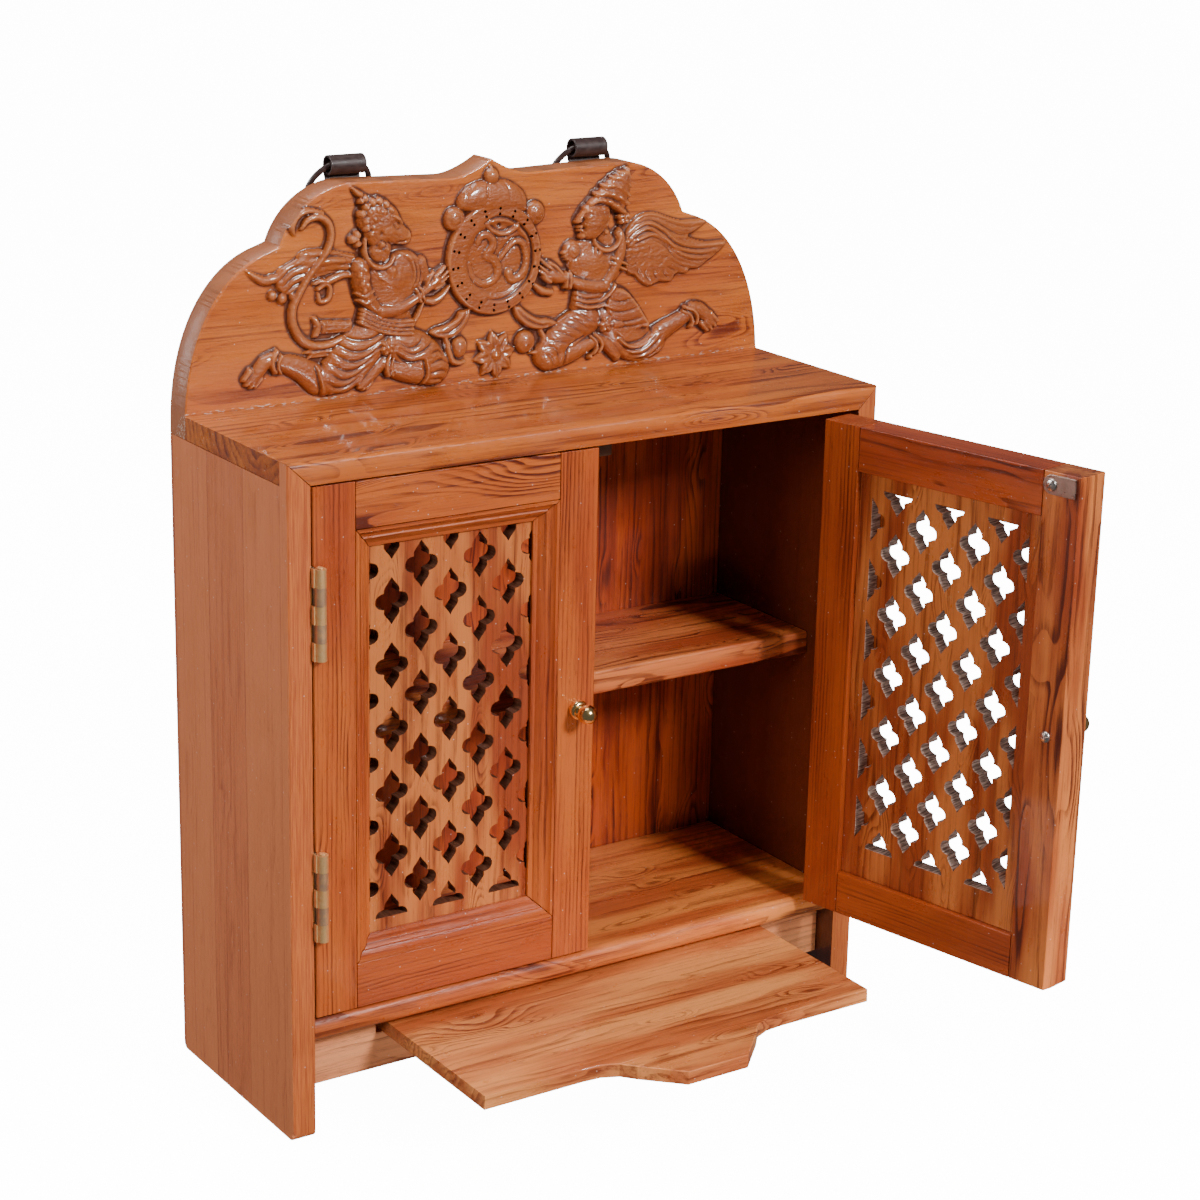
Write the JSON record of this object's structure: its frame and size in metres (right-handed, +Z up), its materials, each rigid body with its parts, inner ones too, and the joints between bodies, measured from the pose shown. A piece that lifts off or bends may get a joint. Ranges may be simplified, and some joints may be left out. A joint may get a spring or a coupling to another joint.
{
  "type": "home temple",
  "caption": "Small wooden home temple: a wall cabinet with two pierced doors on butt hinges, a shelf, a pull-out tray, a carved crest and two hanging rings.",
  "frame": {"origin": "under the middle of the resting object's box, on the surface the two sides stand on", "axes": "+X to the right as seen from the front, +Y from the front to the back, +Z up"},
  "size_m": [0.4144, 0.3326, 0.5148],
  "materials": {
    "varnished_wood": "glossy orange-brown varnish",
    "side_wood": "varnished pale salmon-brown",
    "carved_wood": "glossy varnished carving",
    "tray_wood": "satin golden-brown varnish",
    "inner_wood": "dull dark stain",
    "brass": "pale polished brass",
    "steel": "plated steel",
    "black_iron": "black lacquered iron",
    "brown_catch": "dark brown plastic"
  },
  "bodies": {
    "cabinet": {"side_left": "side_wood", "side_right": "side_wood", "top_board": "varnished_wood", "crest_board": "carved_wood", "back_panel": "inner_wood", "middle_shelf": "varnished_wood", "bottom_shelf": "varnished_wood", "apron_rail": "varnished_wood", "tray_runner_left": "inner_wood", "tray_runner_right": "inner_wood", "left_door_lower_hinge_cabinet_leaf": "brass", "left_door_upper_hinge_cabinet_leaf": "brass", "left_door_lower_hinge_pin": "brass", "left_door_upper_hinge_pin": "brass", "left_door_catch": "brown_catch", "hanger_strap_left": "black_iron", "right_door_lower_hinge_cabinet_leaf": "brass", "right_door_upper_hinge_cabinet_leaf": "brass", "right_door_lower_hinge_pin": "brass", "right_door_upper_hinge_pin": "brass", "right_door_catch": "brown_catch", "hanger_strap_right": "black_iron"},
    "left_door": {"left_door_stile_hinge": "varnished_wood", "left_door_stile_free": "varnished_wood", "left_door_rail_top": "varnished_wood", "left_door_rail_bottom": "varnished_wood", "left_door_jali_panel": "varnished_wood", "left_door_moulding_top": "varnished_wood", "left_door_moulding_bottom": "varnished_wood", "left_door_moulding_left": "varnished_wood", "left_door_moulding_right": "varnished_wood", "left_door_knob": "brass", "left_door_knob_screw": "steel", "left_door_strike_plate": "steel", "left_door_strike_screw": "steel", "left_door_lower_hinge_door_leaf": "brass", "left_door_upper_hinge_door_leaf": "brass"},
    "right_door": {"right_door_stile_hinge": "varnished_wood", "right_door_stile_free": "varnished_wood", "right_door_rail_top": "varnished_wood", "right_door_rail_bottom": "varnished_wood", "right_door_jali_panel": "varnished_wood", "right_door_moulding_top": "varnished_wood", "right_door_moulding_bottom": "varnished_wood", "right_door_moulding_left": "varnished_wood", "right_door_moulding_right": "varnished_wood", "right_door_knob": "brass", "right_door_knob_screw": "steel", "right_door_strike_plate": "steel", "right_door_strike_screw": "steel", "right_door_lower_hinge_door_leaf": "brass", "right_door_upper_hinge_door_leaf": "brass"},
    "tray": {"tray_board": "tray_wood"},
    "left_ring": {"hanger_ring_left": "black_iron"},
    "right_ring": {"hanger_ring_right": "black_iron"}
  },
  "joints": [
    {"name": "left_door_hinge", "type": "hinge", "parent": "cabinet", "child": "left_door", "pos_m": [-0.18984, 0.00774, 0.2195], "axis": [0, 0, -1], "range_deg": [0, 180]},
    {"name": "right_door_hinge", "type": "hinge", "parent": "cabinet", "child": "right_door", "pos_m": [0.15936, 0.00774, 0.2195], "axis": [0, 0, 1], "range_deg": [-102.5, 77.5]},
    {"name": "tray_slide", "type": "slide", "parent": "cabinet", "child": "tray", "axis": [0, 1, 0], "range_m": [0, 0.0985]},
    {"name": "left_ring_swing", "type": "hinge", "parent": "cabinet", "child": "left_ring", "pos_m": [-0.09924, 0.14614, 0.5093], "axis": [1, 0, 0], "range_deg": [0, 245]},
    {"name": "right_ring_swing", "type": "hinge", "parent": "cabinet", "child": "right_ring", "pos_m": [0.06076, 0.14614, 0.5093], "axis": [1, 0, 0], "range_deg": [0, 245]}
  ]
}
